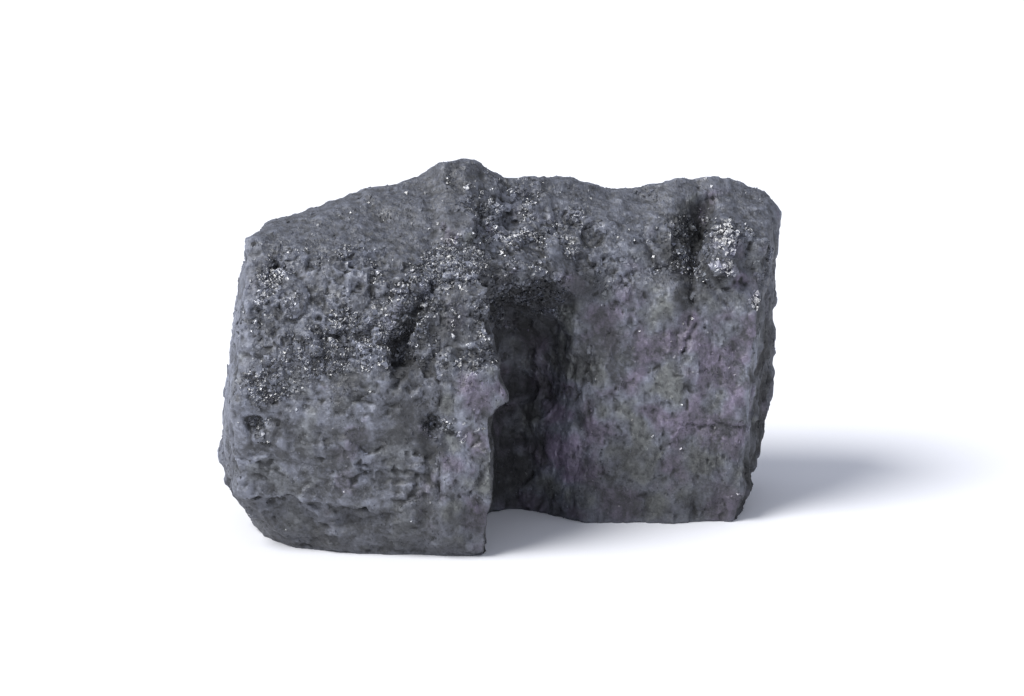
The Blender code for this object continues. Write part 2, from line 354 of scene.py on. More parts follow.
@dataclass
class Surface:
    """A triangle mesh read as arrays: its vertices and normals in mm, and its edges and triangles."""

    mesh: bpy.types.Mesh
    places: Array = field(init=False)
    normals: Array = field(init=False)
    edges: Array = field(init=False)
    triangles: Array = field(init=False)

    def __post_init__(self) -> None:
        """Reads the mesh."""
        self.places = vertex_table(self.mesh) / MM
        self.normals = vertex_table(self.mesh, "normal")
        self.edges = np.empty(len(self.mesh.edges) * 2, np.int32)
        self.mesh.edges.foreach_get("vertices", self.edges)
        self.edges = self.edges.reshape(-1, 2)
        self.mesh.calc_loop_triangles()
        self.triangles = np.empty(len(self.mesh.loop_triangles) * 3, np.int32)
        self.mesh.loop_triangles.foreach_get("vertices", self.triangles)
        self.triangles = self.triangles.reshape(-1, 3)

    def spread(self, values: Array, rounds: int) -> Array:
        """Evens values out: in each round a vertex takes half its own value and half its neighbours' mean.

        Args:
            values: One row per vertex.
            rounds: How many rounds.

        Returns:
            The evened values.
        """
        first, second = self.edges.T
        count = np.bincount(self.edges.ravel(), minlength=len(self.places))
        even = values
        for _ in range(rounds):
            total = np.empty_like(even)
            for axis in range(even.shape[1]):
                total[:, axis] = np.bincount(first, even[second, axis], len(count))
                total[:, axis] += np.bincount(second, even[first, axis], len(count))
            even = 0.5 * even + 0.5 * total / count[:, None]
        return even

    def standing(self, rounds: int) -> Array:
        """How far each vertex stands out from its evened place, along its normal.

        Args:
            rounds: How many rounds of evening.

        Returns:
            Above 0 on ridges, below 0 in hollows, in mm.
        """
        return np.einsum("ij,ij->i", self.places - self.spread(self.places, rounds), self.normals)

    def broad_normals(self, rounds: int = 24) -> Array:
        """Normals of the form without its fine relief.

        Args:
            rounds: How many rounds of evening.

        Returns:
            One unit normal per vertex.
        """
        even = self.spread(self.normals, rounds)
        return even / np.linalg.norm(even, axis=1, keepdims=True)


# ---------------------------------------------------------------------------------- material nodes


def linear(code: str) -> Colour:
    """Turns an sRGB hex colour to linear light.

    Args:
        code: Six hex digits, with or without a leading #.

    Returns:
        Red, green, blue and an alpha of 1.
    """
    levels = [int(code.lstrip("#")[n : n + 2], 16) / 255.0 for n in (0, 2, 4)]
    red, green, blue = (v / 12.92 if v <= 0.04045 else ((v + 0.055) / 1.055) ** 2.4 for v in levels)
    return (red, green, blue, 1.0)


@dataclass
class Recipe:
    """A material under construction: its node tree and the shader that the nodes feed."""

    name: str
    material: bpy.types.Material = field(init=False)
    tree: bpy.types.NodeTree = field(init=False)

    def __post_init__(self) -> None:
        """Makes the material and keeps its tree."""
        self.material = bpy.data.materials.new(self.name)
        self.material.use_nodes = True
        self.tree = self.material.node_tree

    def feed(self, node: bpy.types.Node, links: Links) -> None:
        """Links or sets a node's inputs.

        Args:
            node: The node.
            links: What goes into each socket, by name or number: another node's output, or a plain value.
        """
        for key, value in links.items():
            if isinstance(value, bpy.types.NodeSocket):
                self.tree.links.new(value, node.inputs[key])
            else:
                node.inputs[key].default_value = value

    def add(self, kind: str, links: Links | None = None, out: int | str = 0, **settings: str | bool) -> Link:
        """Adds a shader node with its settings and what feeds it.

        Args:
            kind: The node's type, without ShaderNode.
            links: What goes into its sockets.
            out: Which of its outputs to give.
            **settings: The node's own properties.

        Returns:
            The output.
        """
        node = self.tree.nodes.new(f"ShaderNode{kind}")
        for key, value in settings.items():
            setattr(node, key, value)
        self.feed(node, links or {})
        return node.outputs[out]

    def finish(self, **inputs: Link | float | Colour) -> bpy.types.Material:
        """Feeds the shader.

        Args:
            **inputs: Socket names, with _ for a space, and what goes in.

        Returns:
            The material.
        """
        sockets = {key.replace("_", " "): value for key, value in inputs.items()}
        self.feed(self.tree.nodes["Principled BSDF"], sockets)
        return self.material


@dataclass(frozen=True)
class Char:
    """Hardwood char, carbonised in a kiln and broken by hand.

    The eye gets a blue-black body under a grey graphite sheen. Painted shade darkens its hollows, recess,
    foot and right end, and some crumbs are black with dust. It is paler where it is rubbed or filmed with
    ash, and where painted light lifts a few places in shade, a little purple or olive where the film is thin,
    and glassy on small facets.
    """

    # near-black: painted shade in the hollows, recess, foot and right end, and black dust on some crumbs
    painted_shade_and_soot: str = "#0b0c0f"
    char: str = "#1c1e25"
    ash: str = "#888c9a"
    purple: str = "#ffe4f6"
    olive: str = "#f7f6dc"
    index: float = 1.85  # turbostratic carbon, well above wood's or resin's
    facet: float = 0.42  # real cell walls are ten times finer, and are drawn this coarse so that they show
    specks: tuple[Triple, ...] = ((1.5, 0.5, 4.0), (0.45, 0.6, 3.0))  # width, strength and detail
    patch: float = 1.0  # width of the smoother patches
    dull: float = 0.66  # roughness of matt char
    smoother: float = 0.5
    glassy: float = 0.2
    powdery: float = 0.85  # roughness where the painted shade and soot lie
    fresh: float = 0.84  # a facet whose random number is above this is glassy, which is one in six
    rubble: Triple = (0.5, 0.3, 0.7)  # width, depth and strength of the relief under the mesh
    strand: Triple = (0.3, 0.2, 0.5)
    pore: Triple = (0.18, 0.08, 0.6)

    def body(self, made: Recipe, here: Link, lottery: Link) -> Link:
        """The body's colour: pale and dark patches, tinted in clouds, then painted shade and soot.

        The painted tone has patches of 1 mm and more, which two sizes of specks and the facets break up.

        Args:
            made: The material.
            here: The piece's own coordinates.
            lottery: A random number per facet.

        Returns:
            The colour.
        """
        tone = made.add("Attribute", out="Fac", attribute_name="tone")
        for size, share, detail in self.specks:
            links = {"Vector": here, "Scale": 1.0 / (size * MM), "Detail": detail, "Roughness": 0.65}
            speck = made.add("TexNoise", links)
            speck = made.add("Math", {0: speck, 1: 0.5}, operation="SUBTRACT")
            tone = made.add("Math", {0: speck, 1: share, 2: tone}, operation="MULTIPLY_ADD", use_clamp=True)
        tone = made.add("Math", {0: lottery, 1: 0.2, 2: tone}, operation="MULTIPLY_ADD")
        tone = made.add("Math", {0: tone, 1: 0.1}, operation="SUBTRACT", use_clamp=True)
        colour = made.add("Mix", {0: tone, 6: linear(self.char), 7: linear(self.ash)}, 2, data_type="RGBA")
        for name, code in (("purple", self.purple), ("olive", self.olive)):
            tint = made.add("Attribute", out="Fac", attribute_name=name)
            links = {0: tint, 6: colour, 7: linear(code)}
            colour = made.add("Mix", links, 2, data_type="RGBA", blend_type="MULTIPLY")
        # painted shade: near-black mixed in over the hollows, recess, foot and right end, and on crumbs black
        # with dust
        painted_shade_and_soot = made.add("Attribute", out="Fac", attribute_name="painted_shade_and_soot")
        return made.add("Mix", {0: painted_shade_and_soot, 6: colour, 7: linear(self.painted_shade_and_soot)}, 2, data_type="RGBA")

    def facets(self, made: Recipe, here: Link, grit: Link, gloss: Link) -> tuple[Link, Link]:
        """Small flat facets: inside each scattered cell the normal turns by one random vector.

        It turns further where the surface is broken, and less where it is glassy.

        Args:
            made: The material.
            here: The piece's own coordinates.
            grit: How broken the surface is, from 0 to 1.
            gloss: How glassy it is, from 0 to 1.

        Returns:
            The turned normal, and a random number per facet.
        """
        cell = made.add("TexVoronoi", {"Vector": here, "Scale": 1.0 / (self.facet * MM)}, "Color")
        turn = made.add("MapRange", {"Value": grit, "To Min": 0.42, "To Max": 1.4})
        calm = made.add("MapRange", {"Value": gloss, "To Min": 1.0, "To Max": 0.25})
        turn = made.add("Math", {0: turn, 1: calm}, operation="MULTIPLY")
        random = made.add("VectorMath", {0: cell, 1: (0.5, 0.5, 0.5)}, operation="SUBTRACT")
        pushed = made.add("VectorMath", {0: random, "Scale": turn}, operation="SCALE")
        normal = made.add("NewGeometry", out="Normal")
        leant = made.add("VectorMath", {0: normal, 1: pushed}, operation="ADD")
        unit = made.add("VectorMath", {0: leant}, operation="NORMALIZE")
        return unit, made.add("SeparateColor", {"Color": cell}, "Green")

    def build(self) -> bpy.types.Material:
        """Builds the material.

        Returns:
            The material.
        """
        made = Recipe("hardwood_char_broken")
        here = made.add("TexCoord", out="Object")
        painted = ("grit", "gloss", "fibre", "painted_shade_and_soot")
        grit, gloss, fibre, painted_shade_and_soot = (made.add("Attribute", out="Fac", attribute_name=name) for name in painted)
        normal, lottery = self.facets(made, here, grit, gloss)

        # Roughness: dull char with smoother patches, glassy on the break's fresh facets and where gloss says.
        patch = made.add("TexNoise", {"Vector": here, "Scale": 1.0 / (self.patch * MM), "Detail": 3.0})
        span = {"From Min": 0.35, "From Max": 0.65, "To Min": self.dull, "To Max": self.smoother}
        rough = made.add("MapRange", {"Value": patch, **span})
        glassy = made.add("Math", {0: lottery, 1: self.fresh}, operation="GREATER_THAN")
        glassy = made.add("Math", {0: glassy, 1: grit}, operation="MULTIPLY")
        glassy = made.add("Math", {0: gloss, 1: glassy}, operation="MAXIMUM")
        rough = made.add("Mix", {0: glassy, 2: rough, 3: self.glassy})
        rough = made.add("Mix", {0: painted_shade_and_soot, 2: rough, 3: self.powdery})

        # Relief under the mesh: rubble, upright fibres or level layers, and pores. Gloss smooths all three.
        relief = (self.rubble, self.strand, self.pore)
        coarse, narrow, fine = (1.0 / (width * MM) for width, _, _ in relief)
        upright = made.add("Mapping", {"Vector": here, "Scale": (1.0, 1.0, 0.09)})
        level = made.add("Mapping", {"Vector": here, "Scale": (0.22, 0.22, 1.0)})
        layers, fibres = (made.add("TexNoise", {"Vector": way, "Scale": narrow}) for way in (level, upright))
        strands = made.add("Mix", {0: fibre, 2: layers, 3: fibres})
        rubble = made.add("TexNoise", {"Vector": here, "Scale": coarse, "Detail": 3.0, "Roughness": 0.7})
        pores = made.add("TexNoise", {"Vector": here, "Scale": fine, "Roughness": 0.7})
        for height, (_, depth, strength) in zip((rubble, strands, pores), relief):
            fade = made.add("MapRange", {"Value": gloss, "To Min": strength, "To Max": 0.15 * strength})
            links = {"Height": height, "Distance": depth * MM, "Strength": fade, "Normal": normal}
            normal = made.add("Bump", links, "Normal")
        colour = self.body(made, here, lottery)
        return made.finish(Base_Color=colour, Roughness=rough, Normal=normal, IOR=self.index)


# --------------------------------------------------------------------------------- the lump's skin


@dataclass(frozen=True)
class Mark:
    """A crack or a ledge on the front: its corners in x and z, its reach, and its depth."""

    corners: tuple[tuple[float, float], ...]
    reach: float
    depth: float


@dataclass(frozen=True)
class Spot:
    """A round spot: its middle, its radius, and its strength."""

    middle: Triple
    radius: float
    strength: float = 1.0

    def share(self, points: Array) -> Array:
        """The strength at the middle, easing to 0 at the radius.

        Args:
            points: Places, one row each.

        Returns:
            One share per point.
        """
        away = np.linalg.norm(points - np.array(self.middle), axis=1)
        return self.strength * (1.0 - eased(away, 0.35 * self.radius, self.radius))


def ragged(points: Array) -> Array:
    """The points moved by noise, by up to about 1.5 mm, which makes a round spot ragged.

    Args:
        points: Places.

    Returns:
        The moved places.
    """
    return points + 2.2 * np.stack([layered(points, 2.6, 2, salt) for salt in (331, 333, 335)], axis=1)


@dataclass(frozen=True)
class Break:
    """One way in which the char has broken: at each point, how high it stands and how pale it is."""

    height: Array
    tone: Array


def crumbled(points: Array) -> Break:
    """A break across the grain: tilted lumps 3.4 and 1.5 mm wide, some fallen out, and calmer patches.

    Args:
        points: Places.

    Returns:
        The break.
    """
    lumps, bits = scattered(points, 3.4, 101), scattered(points, 1.5, 131)
    rough = 0.45 + 0.55 * eased(layered(points, 7.0, 2, 103), -0.25, 0.2)
    height = 0.75 * lumps.tilt + 0.15 * lumps.dome - 0.15 * lumps.seam - 0.15
    height += 0.5 * layered(points, 6.5, 2, 107)
    height += rough * (0.5 * bits.tilt - 1.3 * lumps.bowl(0.12) - 0.8 * bits.bowl(0.16))
    tone = 0.17 + 0.3 * (lumps.label - 0.5) + 0.34 * (bits.label - 0.5) + 0.3 * layered(points, 6.0, 2, 105)
    return Break(height, tone)


def granular(points: Array) -> Break:
    """Grains 0.9 mm wide on top of a crumbled break.

    Args:
        points: Places.

    Returns:
        The break, to add to a crumbled one.
    """
    grains = scattered(points, 0.9, 161)
    return Break(0.34 * grains.tilt - 0.5 * grains.bowl(0.24), 0.4 * (grains.label - 0.5) - 0.08)


def snapped(points: Array) -> Break:
    """A split that has snapped across the grain: low slabs 7 mm wide, blocks 3.4 mm wide, and flakes on them.

    Args:
        points: Places.

    Returns:
        The break.
    """
    bent = points + 1.6 * noise(points, 4.0, 217)[:, None] * np.array((1.0, 0.0, 0.9))
    slabs, blocks = scattered(bent, (7.0, 7.0, 5.0), 219), scattered(bent, (3.4, 3.4, 2.3), 223)
    flakes = scattered(points, (1.5, 1.5, 1.1), 233)
    loose = 0.35 + 0.65 * eased(noise(points, 6.0, 215), -0.2, 0.3)
    height = 0.34 * slabs.tilt + loose * (0.36 * blocks.tilt + 0.26 * flakes.tilt - 0.1 * blocks.seam)
    pale = eased(layered(points, (3.2, 3.2, 1.6), 3, 235), 0.08, 0.4)
    tone = 0.1 + 0.34 * pale + 0.24 * (flakes.label - 0.5) + 0.2 * (blocks.label - 0.5)
    return Break(height, tone + 0.3 * layered(points, 8.0, 2, 237))


def rubbed(points: Array) -> Break:
    """A split along the grain that has worn smooth: broad upright flutes and faint plates, with a few pits.

    Args:
        points: Places.

    Returns:
        The break.
    """
    plates, flakes = scattered(points, (3.4, 3.4, 5.0), 225), scattered(points, (1.5, 1.5, 2.0), 227)
    nicks = scattered(points, (0.9, 0.9, 1.4), 245)
    height = 0.34 * plates.tilt + 0.18 * flakes.tilt + 0.3 * noise(points, (3.6, 3.6, 18.0), 229)
    where = eased(noise(points, 7.0, 249), 0.0, 0.3)
    height += 0.35 * noise(points, 8.0, 231) + 0.12 * nicks.tilt - 0.35 * where * nicks.bowl(0.12)
    tone = 0.3 + 0.3 * layered(points, (4.0, 4.0, 6.0), 3, 247) + 0.22 * (flakes.label - 0.5)
    return Break(height, tone + 0.16 * (plates.label - 0.5) + 0.2 * (nicks.label - 0.5))


def splintered(points: Array) -> Break:
    """A rough split along the grain: plates 3.6 mm wide and 8 mm long, snapped blocks, ridges and fissures.

    A ridge is 1 less the absolute value of noise that is long in Z. A fissure runs up and down where such
    noise is near 0, and other noise breaks it into lengths.

    Args:
        points: Places.

    Returns:
        The break.
    """
    bent = points + 0.9 * noise(points, (6.0, 6.0, 12.0), 211)[:, None] * np.array((1.0, 0.0, 1.0))
    plates, blocks = scattered(bent, (3.6, 3.6, 8.0), 223), scattered(bent, (2.8, 2.8, 3.2), 239)
    shards = scattered(bent, (1.2, 1.2, 3.4), 233)
    ridge = 1.0 - np.abs(noise(bent, (1.3, 1.3, 12.0), 227)) * 2.0
    loose = 0.25 + 0.75 * eased(noise(points, 9.0, 251), -0.15, 0.3)
    height = 0.42 * plates.tilt + 0.22 * shards.tilt + 0.12 * ridge - 0.12 * plates.seam - 0.16
    height += loose * (0.46 * blocks.tilt - 0.12 * blocks.seam)
    fissure = 1.0 - eased(np.abs(noise(bent, (4.5, 4.5, 120.0), 261)), 0.0, 0.1)
    fissure *= eased(noise(points, (7.0, 7.0, 11.0), 267), -0.05, 0.25)
    tone = 0.22 + 0.3 * (blocks.label - 0.5) + 0.3 * (shards.label - 0.5) + 0.1 * ridge - 0.2 * fissure
    return Break(height - 1.0 * fissure, tone + 0.3 * layered(points, 7.0, 3, 265))


def calm(points: Array) -> Break:
    """The roof: small tilted chips, and growth rings, a sine of the distance from a pith behind the lump.

    Args:
        points: Places.

    Returns:
        The break.
    """
    chips, bits = scattered(points, 2.4, 257), scattered(points, 1.2, 263)
    pith_x, pith_y, ring = 14.0, 150.0, 1.9
    away = np.hypot(points[:, 0] - pith_x, points[:, 1] - pith_y) + 0.8 * noise(points, 9.0, 291)
    clear = 0.6 + 0.6 * noise(points, 5.0, 295)
    rings = np.sin(FULL_TURN * (away + 0.25 * noise(points, 2.5, 293)) / ring) * clear
    tone = 0.18 + 0.07 * (chips.label - 0.5) + 0.07 * (bits.label - 0.5) + 0.04 * rings
    return Break(0.15 * chips.tilt + 0.1 * bits.tilt + 0.08 * rings, tone)


@dataclass(frozen=True)
class Zones:
    """How far each kind of surface holds at each point, from 0 to 1."""

    band: Array  # the crumbling break
    grains: Array  # where it has gone to grains
    snapped: Array  # the left half's front below it
    rubbed: Array  # its smooth right strip, and the right half's front
    splintered: Array  # every other upright face
    calm: Array  # the roof and what is left
    crumbly: ClassVar[tuple[Spot, ...]] = (  # pockets of grains: the gully, the brow, the clefts and the pits
        Spot((30.4, 3.0, 42.5), 8.5),
        Spot((-0.6, -11.0, 38.5), 7.5),
        Spot((-14.6, -22.5, 34.0), 5.5),
        Spot((-2.5, -5.0, 50.5), 5.0, 0.8),
        Spot((4.0, -6.0, 37.0), 8.0, 0.9),
        Spot((-10.5, -24.0, 21.0), 3.6),
        Spot((-37.2, -24.0, 20.5), 3.2),
    )

    @classmethod
    def at(cls, points: Array, normals: Array) -> "Zones":
        """Works the zones out from where a point lies and which way the form faces there.

        The band's lower edge is a height with noise added, lower on the left half than on the right, and
        higher still on the back. The upper left stays calm, and so does a narrow strip at the left end. There
        are fewer grains on the saddle between the brow and the gully. The front's snapped and rubbed faces
        meet at a seam, a little left of the recess.

        Args:
            points: Places.
            normals: Unit normals of the broad form.

        Returns:
            The zones.
        """
        x, y, z = points.T
        ahead, up = -normals[:, 1], normals[:, 2]
        wander = 3.6 * noise(points, 8.0, 71) + 2.2 * noise(points, 3.0, 72)
        foot = 28.5 + 11.0 * eased(x, -3.0, 10.0)
        front = eased(z + wander, foot - 4.0, foot + 5.0) * eased(ahead, 0.05, 0.4) * eased(-y, -8.0, 2.0)
        quiet = eased(z + 0.55 * y + 0.5 * wander, 34.5, 40.5) * eased(-x, -2.0, 6.0)
        front *= (1.0 - 0.85 * quiet) * (1.0 - 0.85 * eased(-x, 36.8, 38.6))
        back = 0.5 * eased(z + wander, 36.0, 46.0) * eased(-ahead, 0.1, 0.5)
        band = np.clip((front + back) * (0.8 + 0.5 * noise(points, 5.0, 74)), 0.0, 1.0)
        clumps = eased(layered(points, 5.5, 3, 311), -0.2, 0.25)
        saddle = eased(x, 9.0, 15.0) * (1.0 - eased(x, 26.5, 30.5))
        grains = np.maximum(band * clumps * (1.0 - 0.75 * saddle), 0.08 * clumps**2 * eased(up, 0.2, 0.6))
        torn = ragged(points)
        for spot in cls.crumbly:
            grains = np.maximum(grains, spot.share(torn))
        split = (1.0 - eased(np.abs(up), 0.3, 0.7)) * (1.0 - band)
        past_seam = eased(x, -10.5, -8.5)
        left = split * eased(ahead, 0.3, 0.7) * (1.0 - past_seam)
        right = split * eased(ahead, 0.3, 0.7) * past_seam
        other = split * (1.0 - np.maximum(left, right))
        return cls(band, grains, left, right, other, (1.0 - band) * (1.0 - split))

    def breaks(self, points: Array) -> Break:
        """Adds up every way of breaking, each worked out only where its zone holds.

        Args:
            points: Places.

        Returns:
            The whole surface's height and tone.
        """
        height, tone = 0.3 * layered(points, 5.0, 3, 271), np.zeros(len(points))
        kinds = (
            (self.band, crumbled),
            (self.grains, granular),
            (self.snapped, snapped),
            (self.rubbed, rubbed),
            (self.splintered, splintered),
            (self.calm, calm),
        )
        least = 0.01
        for share, kind in kinds:
            held = share > least
            made = kind(points[held])
            height[held] += share[held] * made.height
            tone[held] += share[held] * made.tone
        return Break(height, tone)


@dataclass
class Skin:
    """The lump's whole surface, one closed mesh worked up from the solid."""

    voxel: float = 0.3  # width of the even grid's faces
    faces: int = 197_000  # triangles that are left when the grid is thinned
    crease: float = 32.0  # degrees between two facets past which their edge stays sharp
    name: str = "char_skin"
    cracks: tuple[Mark, ...] = (
        Mark(((-15.8, 28.0), (-15.4, 33.0), (-13.4, 37.5), (-10.6, 41.5)), 1.6, 1.0),
        Mark(((-9.9, 17.6), (-9.5, 12.0), (-9.8, 6.0)), 0.6, 0.45),
        Mark(((-37.9, 30.0), (-38.2, 18.0), (-37.8, 10.0)), 1.0, 0.3),
        Mark(((30.6, 39.0), (34.6, 38.0), (38.8, 38.8)), 1.0, 1.0),
        Mark(((29.8, 36.0), (30.4, 32.0), (29.2, 28.0)), 0.8, 0.5),
    )
    ledges: tuple[Mark, ...] = (  # the side below a ledge, or right of it, lies deeper
        Mark(((-38.6, 9.0), (-33.0, 9.8), (-27.0, 8.8), (-22.0, 8.2)), 6.0, 1.2),
        Mark(((-9.8, 17.4), (-6.0, 18.0), (-0.6, 17.2)), 3.0, 0.5),
        Mark(((30.8, 16.6), (35.5, 16.6), (40.8, 15.4)), 4.0, 0.5),
    )
    swells: tuple[Spot, ...] = (  # broad rises, or hollows where the strength is under 0
        Spot((-7.0, 1.5, 57.0), 5.0, 0.5),
        Spot((-15.5, -1.0, 54.5), 6.5, -0.7),
        Spot((21.0, -6.3, 0.5), 14.0, 1.3),
    )
    glossy: tuple[Spot, ...] = (  # the shining block at the right, and small fresh breaks
        Spot((35.4, 1.2, 46.4), 3.4, 0.8),
        Spot((36.8, -0.8, 44.8), 2.8),
        Spot((34.6, -4.2, 40.9), 2.7, 0.9),
        Spot((-2.6, -2.6, 52.4), 3.4, 0.7),
        Spot((-4.6, -24.8, 19.6), 3.6, 0.6),
        Spot((-6.3, -23.5, 33.5), 4.0, 0.5),
        Spot((40.3, -2.8, 35.4), 2.2, 0.8),
    )
    # painted shade: darker spots in the recess and over it, in the clefts and pits, at the left end, beside
    # the knob, in the gully and at the right edge and corner
    shade_spots: tuple[Spot, ...] = (
        # the recess and the brow over it
        Spot((0.5, -1.0, 7.0), 10.0),
        Spot((0.5, 0.0, 18.0), 10.0),
        Spot((3.0, -2.0, 29.5), 9.5),
        Spot((4.5, -6.0, 37.0), 8.0, 0.9),
        Spot((12.5, -6.0, 38.5), 5.4, 0.75),
        Spot((12.5, -6.5, 42.0), 4.4, 0.6),
        Spot((15.5, -5.5, 32.5), 4.5, 0.35),
        Spot((-0.6, -6.0, 36.0), 6.0),
        Spot((-2.0, -18.0, 38.8), 5.0, 0.8),
        # the cleft in the left half's front
        Spot((-8.0, -20.5, 39.0), 4.5, 0.4),
        Spot((-10.8, -22.5, 35.6), 4.6, 0.95),
        Spot((-5.8, -22.0, 36.2), 4.2, 0.65),
        Spot((-11.6, -20.0, 39.6), 2.6, 0.9),
        Spot((-13.9, -22.0, 36.9), 2.8),
        Spot((-15.0, -22.0, 32.0), 4.0),
        Spot((-12.8, -24.6, 30.5), 3.6, 0.8),
        Spot((-15.2, -25.0, 29.5), 3.8, 0.75),
        Spot((-14.8, -26.0, 24.0), 3.6, 0.5),
        # pits, and the left end
        Spot((-10.5, -24.0, 21.2), 2.2),
        Spot((-10.8, -25.4, 18.4), 3.4, 0.9),
        Spot((-25.5, -26.0, 16.5), 4.0, 0.35),
        Spot((-37.5, -24.0, 21.7), 1.3),
        Spot((-41.5, -20.0, 14.0), 4.5, 0.4),
        # beside the knob
        Spot((-3.1, -4.2, 51.0), 2.2),
        Spot((-7.4, -10.5, 49.0), 3.2, 0.4),
        Spot((-6.6, -10.0, 49.4), 3.2, 0.3),
        # the gully, and the right edge and corner
        Spot((27.5, -1.5, 42.5), 4.0, 0.8),
        Spot((29.1, -4.2, 36.9), 3.0),
        Spot((29.5, -3.0, 39.6), 3.4, 0.9),
        Spot((30.0, -0.8, 40.1), 4.8),
        Spot((30.6, 4.6, 44.6), 6.0),
        Spot((30.8, 6.0, 47.8), 4.4, 0.9),
        Spot((32.0, -2.5, 40.0), 4.6, 0.85),
        Spot((35.0, -3.0, 42.7), 1.7, 0.8),
        Spot((40.8, -1.0, 41.0), 4.6, 0.45),
        Spot((37.0, -5.0, 4.6), 4.6, 0.55),
    )
    shade_cleared: tuple[Spot, ...] = (  # where the painted shade is taken off: the recess's right wall, the right end's front edge, the saddle by the knob
        Spot((9.2, -2.6, 13.0), 6.5, 0.9),
        Spot((9.0, -2.8, 7.0), 6.0, 0.9),
        Spot((8.8, -2.0, 28.0), 3.6, 0.5),
        Spot((39.0, -3.4, 12.8), 3.6, 0.9),
        Spot((39.4, -3.0, 19.0), 4.5, 0.9),
        Spot((39.6, -2.5, 27.0), 4.5, 0.9),
        Spot((-0.6, -6.4, 47.6), 3.6, 0.8),
    )
    pale: tuple[Spot, ...] = (  # paler: dusty chips and rubbed places, and painted light on places in shade; darker where the strength is under 0
        Spot((-6.1, -25.0, 20.6), 3.4, 0.3),
        Spot((-12.5, -25.0, 17.6), 2.8, 0.24),
        Spot((-30.2, -25.0, 24.4), 4.0, 0.16),
        Spot((-18.9, -25.0, 25.6), 2.8, 0.2),
        Spot((-5.2, -25.0, 16.6), 2.4, 0.26),
        Spot((-27.9, -25.0, 17.6), 2.4, 0.22),
        Spot((-19.9, -25.0, 13.8), 2.6, 0.2),
        Spot((-33.5, -25.0, 10.6), 2.8, 0.18),
        Spot((24.0, -5.0, 20.3), 7.5, 0.14),
        Spot((31.4, -5.0, 27.8), 5.5, 0.14),
        Spot((18.3, -5.0, 23.0), 4.5, 0.12),
        Spot((24.0, -5.0, 33.0), 4.5, 0.1),
        Spot((-15.1, -25.0, 20.6), 4.0, -0.24),
        Spot((-23.4, -25.0, 20.6), 3.4, -0.16),
        Spot((16.0, -5.0, 27.0), 7.0, -0.32),
        Spot((36.0, -4.0, 14.0), 4.5, -0.08),
        Spot((2.0, -2.0, 49.0), 5.0, 0.16),
        Spot((-31.0, -16.5, 45.0), 5.5, 0.1),
        Spot((-21.0, -15.5, 45.0), 5.5, 0.14),
        Spot((-35.4, -21.0, 39.6), 4.5, 0.14),
        Spot((-28.0, -22.5, 36.5), 4.5, 0.12),
        # painted light on places in shade: the recess's right wall, the right end's front edge, a hollow at
        # the upper left and the saddle in the knob's shadow
        Spot((9.2, -2.0, 14.0), 6.0, 0.4),
        Spot((9.0, -2.8, 7.0), 6.0, 0.35),
        Spot((39.0, -3.4, 12.8), 3.6, 0.2),
        Spot((-36.5, -21.0, 39.5), 4.0, 0.18),
        Spot((-9.5, -22.0, 35.5), 5.0, -0.18),
        Spot((39.4, -3.0, 19.0), 4.5, 0.25),
        Spot((39.6, -2.5, 27.0), 4.5, 0.25),
        Spot((-0.6, -6.4, 47.6), 3.6, 0.25),
        Spot((-7.0, -1.0, 55.5), 6.5, -0.14),
        Spot((20.0, 1.0, 48.0), 9.0, 0.1),
        Spot((-3.0, -25.0, 8.0), 6.0, -0.1),
    )
    hues: tuple[Spot, ...] = (  # an olive film, or a purple one where the strength is under 0
        Spot((-30.2, -25.0, 24.4), 5.5, 0.8),
        Spot((-18.9, -25.0, 25.6), 4.0, 0.8),
        Spot((24.0, -5.0, 20.3), 9.0, 0.6),
        Spot((31.4, -5.0, 27.8), 7.0, 0.5),
        Spot((15.1, -4.0, 29.0), 6.5, -0.8),
        Spot((17.2, -5.0, 36.8), 6.0, -0.8),
        Spot((35.7, -4.0, 15.5), 7.0, -0.7),
        Spot((33.0, -4.0, 24.0), 5.0, -0.4),
        Spot((14.0, -2.0, 8.0), 6.0, -0.5),
        Spot((24.0, -5.0, 34.0), 5.0, 0.3),
    )

    def marks(self, points: Array, normals: Array) -> Array:
        """Depth of the cracks and ledges: a crack is deepest on its path, a ledge drops on one side of it.

        Noise bends each path and makes it fade in and out along its length.

        Args:
            points: Places.
            normals: Unit normals.

        Returns:
            One depth per point.
        """
        wobble = np.stack([layered(points, 4.0, 3, salt) for salt in (241, 243)], axis=1) * 1.6
        flat, broken = points[:, [0, 2]] + wobble, eased(noise(points, 3.2, 249), -0.4, 0.3)
        total = np.zeros(len(points))
        for crack in self.cracks:
            near, _ = path_offset(flat, np.array(crack.corners))
            total = np.maximum(total, crack.depth * broken * (1.0 - eased(near, 0.0, crack.reach)))
        for ledge in self.ledges:
            near, side = path_offset(flat, np.array(ledge.corners))
            fall = (1.0 - eased(near, 0.2 * ledge.reach, ledge.reach)) * eased(near, 0.0, 0.5)
            total += ledge.depth * (0.3 + 0.7 * broken) * np.where(side > 0.0, fall, 0.0)
        return total * eased(-normals[:, 1], 0.2, 0.5)

    def remeshed(self) -> bpy.types.Mesh:
        """A copy of the solid's mesh, merged and laid out again as an even grid of small faces.

        Returns:
            The mesh.
        """
        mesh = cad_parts[NODE].data.copy()
        work = bmesh.new()
        work.from_mesh(mesh)
        bmesh.ops.remove_doubles(work, verts=work.verts, dist=1e-6)
        work.to_mesh(mesh)
        work.free()
        mesh.materials.clear()
        return with_modifier(mesh, "REMESH", mode="VOXEL", voxel_size=self.voxel * MM)

